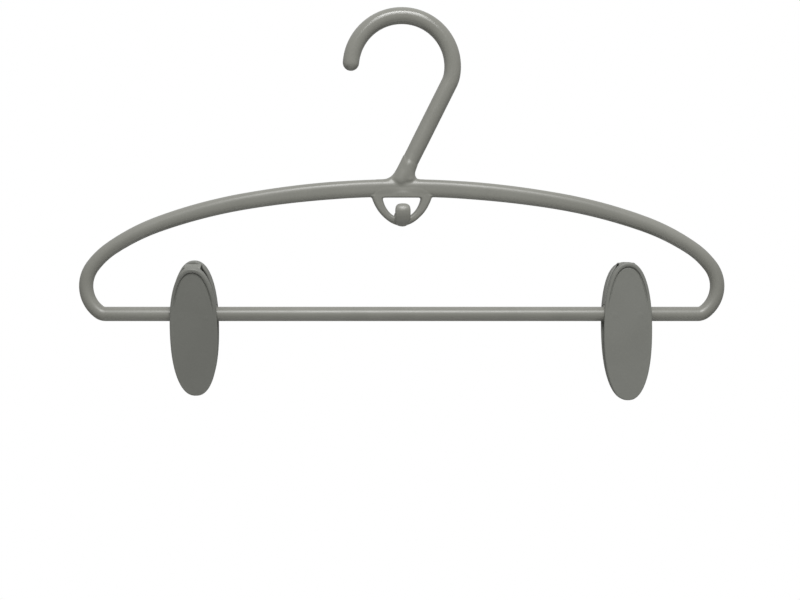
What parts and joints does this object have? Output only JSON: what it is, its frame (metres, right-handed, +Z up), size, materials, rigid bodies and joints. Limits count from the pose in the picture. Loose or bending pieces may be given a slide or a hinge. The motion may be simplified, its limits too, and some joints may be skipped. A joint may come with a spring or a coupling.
{
  "type": "skirt hanger",
  "caption": "Moulded plastic skirt hanger: round hook, bowed arch, straight lower bar, cascade loop with peg, and sliding sprung pinch clips.",
  "frame": {"origin": "hook seat: the lowest point of the inner side of the hook's crown, where it rests on a rail", "axes": "+X along the lower bar to the viewer's right, -Y towards the viewer (the side of the peg), +Z up"},
  "size_m": [0.4, 0.0353, 0.2434],
  "materials": {
    "frame_plastic": "semi-gloss moulded greige plastic",
    "clip_plastic": "fine matt moulded greige plastic",
    "sleeve_plastic": "natural slippery bush plastic",
    "spring_band": "band finished to match the clip",
    "grip_rubber": "soft ribbed grip"
  },
  "bodies": {
    "frame": {"hanger_frame": "frame_plastic"},
    "left_bush": {"left_sleeve": "sleeve_plastic"},
    "left_rear": {"left_rear_jaw": "clip_plastic", "left_spring": "spring_band", "left_rear_pad": "grip_rubber"},
    "left_front": {"left_front_jaw": "clip_plastic", "left_front_pad": "grip_rubber"},
    "right_bush": {"right_sleeve": "sleeve_plastic"},
    "right_rear": {"right_rear_jaw": "clip_plastic", "right_spring": "spring_band", "right_rear_pad": "grip_rubber"},
    "right_front": {"right_front_jaw": "clip_plastic", "right_front_pad": "grip_rubber"}
  },
  "joints": [
    {"name": "left_clip_slide", "type": "slide", "parent": "frame", "child": "left_bush", "axis": [1, 0, 0], "range_m": [-0.0353, 0.1087]},
    {"name": "left_clip_swivel", "type": "hinge", "parent": "left_bush", "child": "left_rear", "pos_m": [-0.1287, 0, -0.18], "axis": [1, 0, 0], "range_deg": [-103, 77]},
    {"name": "left_clip_squeeze", "type": "hinge", "parent": "left_rear", "child": "left_front", "pos_m": [-0.1287, 0, -0.18], "axis": [-1, 0, 0], "range_deg": [0, 12], "stiffness_Nm_per_rad": 0.3, "springref_deg": -11.46, "deforming": ["left_spring"]},
    {"name": "right_clip_slide", "type": "slide", "parent": "frame", "child": "right_bush", "axis": [1, 0, 0], "range_m": [-0.1193, 0.0247]},
    {"name": "right_clip_swivel", "type": "hinge", "parent": "right_bush", "child": "right_rear", "pos_m": [0.1393, 0, -0.18], "axis": [1, 0, 0], "range_deg": [-87, 93]},
    {"name": "right_clip_squeeze", "type": "hinge", "parent": "right_rear", "child": "right_front", "pos_m": [0.1393, 0, -0.18], "axis": [-1, 0, 0], "range_deg": [0, 12], "stiffness_Nm_per_rad": 0.3, "springref_deg": -11.46, "deforming": ["right_spring"]}
  ]
}
